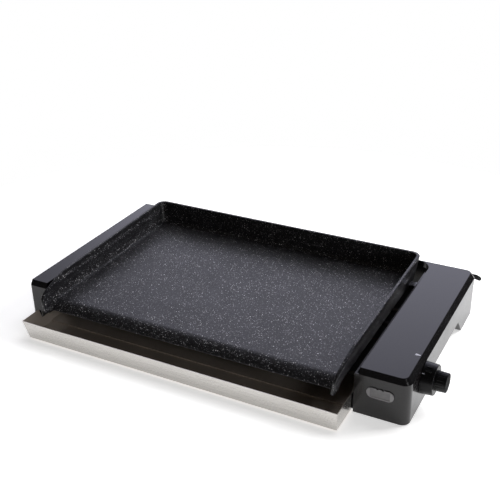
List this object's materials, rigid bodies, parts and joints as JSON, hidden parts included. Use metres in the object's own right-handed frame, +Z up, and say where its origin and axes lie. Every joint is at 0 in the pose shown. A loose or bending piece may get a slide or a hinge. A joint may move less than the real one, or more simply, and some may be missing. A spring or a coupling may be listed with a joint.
{
  "type": "electric griddle",
  "caption": "Flat-top electric griddle: drop-in non-stick plate with raised walls and curled front lip on a dark base, side control knob, pull-out steel drip tray and mains cord.",
  "frame": {"origin": "centre of the standing body's box at table height, under the middle of the griddle, cord left out", "axes": "+X to the control knob's side (viewer's right from the front), +Y from the front with the drip tray to the back with the cord, +Z up"},
  "size_m": [0.654, 0.4951, 0.0913],
  "materials": {
    "black_phenolic": "moulded, fine texture",
    "black_cover": "moulded, satin",
    "galvanised_steel": "zinc coated sheet",
    "black_enamel": "black vitreous enamel on sheet steel",
    "element_sheath": "dark oxidised sheath",
    "ceramic": "unglazed",
    "ceramic_case": "unglazed",
    "brass": "plain",
    "copper": "drawn copper",
    "stainless_tab": "pressed sheet",
    "non_stick_plate": "cast, dark non-stick coating with pale flecks",
    "tray_steel": "bright sheet, lightly brushed front",
    "black_knob": "moulded",
    "plated_shaft": "plated",
    "smoked_lens": "smoked clear plastic",
    "white_plastic": "moulded",
    "lamp_glass": "clear",
    "wire_sleeve": "woven glass sleeve",
    "black_rubber": "moulded",
    "screw_steel": "zinc plated",
    "cord_sheath": "round flexible sheath, satin"
  },
  "bodies": {
    "base": {"control_housing": "black_phenolic", "left_housing": "black_phenolic", "top_frame": "black_cover", "rear_panel": "black_cover", "front_crossbar": "black_enamel", "rear_crossbar": "black_enamel", "heat_reflector": "black_enamel", "heating_element": "element_sheath", "element_cradles": "black_enamel", "element_bushes": "ceramic", "element_terminals": "brass", "plate_supports": "galvanised_steel", "plate_locators": "stainless_tab", "tray_rail_right": "galvanised_steel", "tray_rail_left": "galvanised_steel", "thermostat_bracket": "galvanised_steel", "thermostat_body": "ceramic_case", "thermostat_bulb": "copper", "capillary_tube": "copper", "indicator_lens": "smoked_lens", "lamp_holder": "white_plastic", "indicator_lamps": "lamp_glass", "terminal_block": "white_plastic", "internal_wires": "wire_sleeve", "earth_tag": "brass", "rubber_feet": "black_rubber", "frame_screws": "screw_steel", "crossbar_screws": "screw_steel", "strain_relief": "black_rubber", "mains_cord": "cord_sheath", "cord_coil": "cord_sheath", "mains_cord_tail": "cord_sheath", "plug_body": "cord_sheath", "plug_pins": "brass", "bulb_clip": "galvanised_steel"},
    "plate": {"griddle_plate": "non_stick_plate"},
    "tray": {"drip_tray": "tray_steel"},
    "knob": {"control_knob": "black_knob", "thermostat_shaft": "plated_shaft", "knob_spring_clip": "galvanised_steel"}
  },
  "joints": [
    {"name": "plate_lift", "type": "slide", "parent": "base", "child": "plate", "axis": [0, 0, 1], "range_m": [0, 0.12]},
    {"name": "tray_slide", "type": "slide", "parent": "base", "child": "tray", "axis": [0, -1, 0], "range_m": [0, 0.28]},
    {"name": "knob_turn", "type": "hinge", "parent": "base", "child": "knob", "pos_m": [0.294, -0.0794, 0.0415], "axis": [1, 0, 0], "range_deg": [0, 270]}
  ]
}
